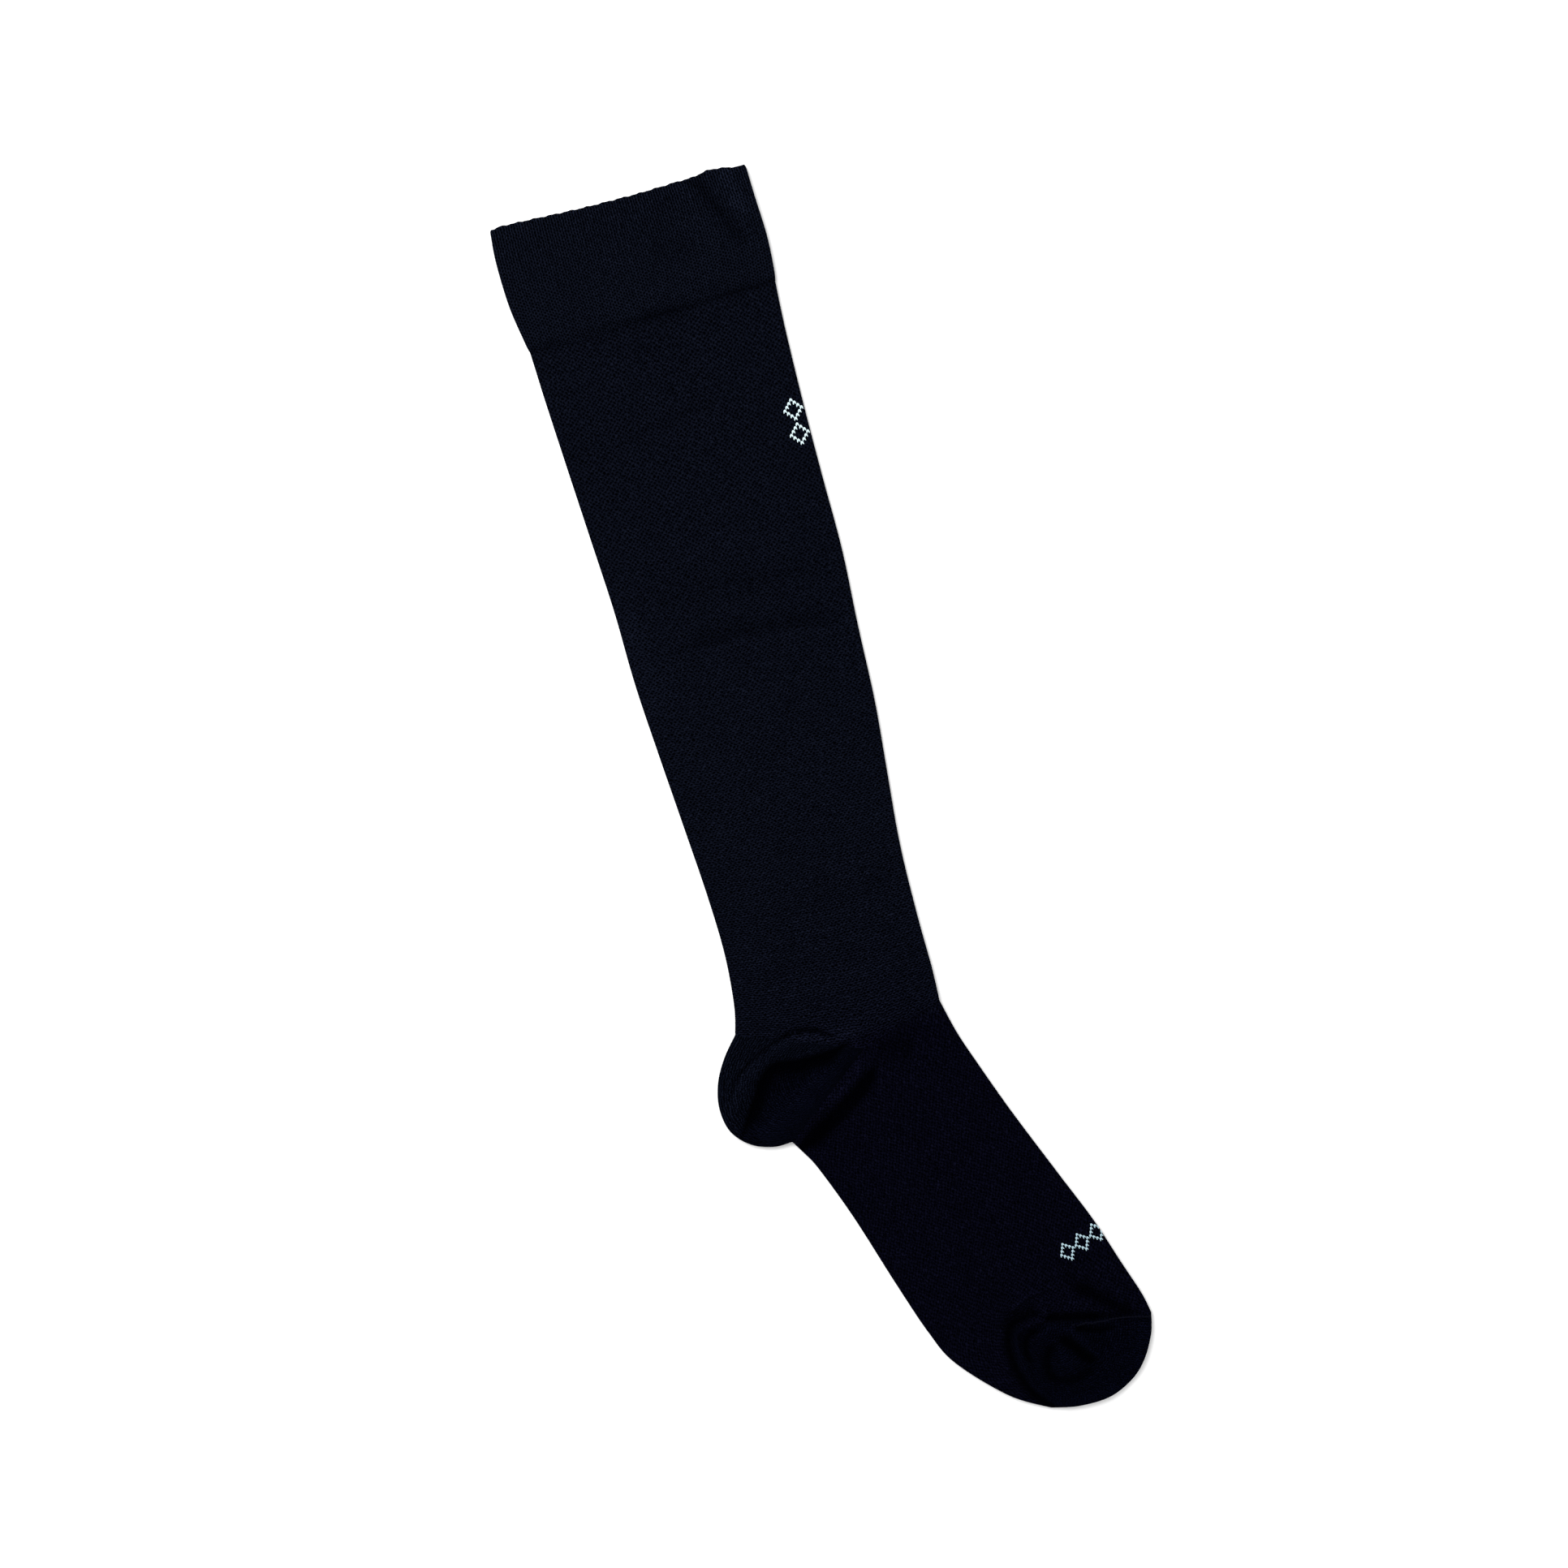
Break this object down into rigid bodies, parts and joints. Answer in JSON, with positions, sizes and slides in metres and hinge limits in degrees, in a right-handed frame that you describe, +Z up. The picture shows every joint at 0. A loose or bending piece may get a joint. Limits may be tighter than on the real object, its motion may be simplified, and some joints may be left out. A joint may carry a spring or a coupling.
{
  "type": "compression stocking",
  "caption": "Knee-high compression stocking laid flat on its side, with a turned welt, a long leg, a heel pocket, a foot and a closed toe.",
  "frame": {"origin": "middle of the laid stocking's box, on the surface that it lies on", "axes": "+Y up the leg towards the welt's mouth, +X towards the shin, instep and toe, +Z up from the surface"},
  "size_m": [0.1548, 0.5476, 0.008],
  "materials": {
    "leg_knit": "matt dark navy tuck-stitch knit",
    "foot_knit": "matt blue-black knit, tuck stitch on the foot and plain on the heel and toe"
  },
  "bodies": {
    "root": {"welt": "leg_knit", "leg": "leg_knit", "heel_pocket": "foot_knit", "foot": "foot_knit", "toe_cap": "foot_knit"}
  },
  "joints": []
}
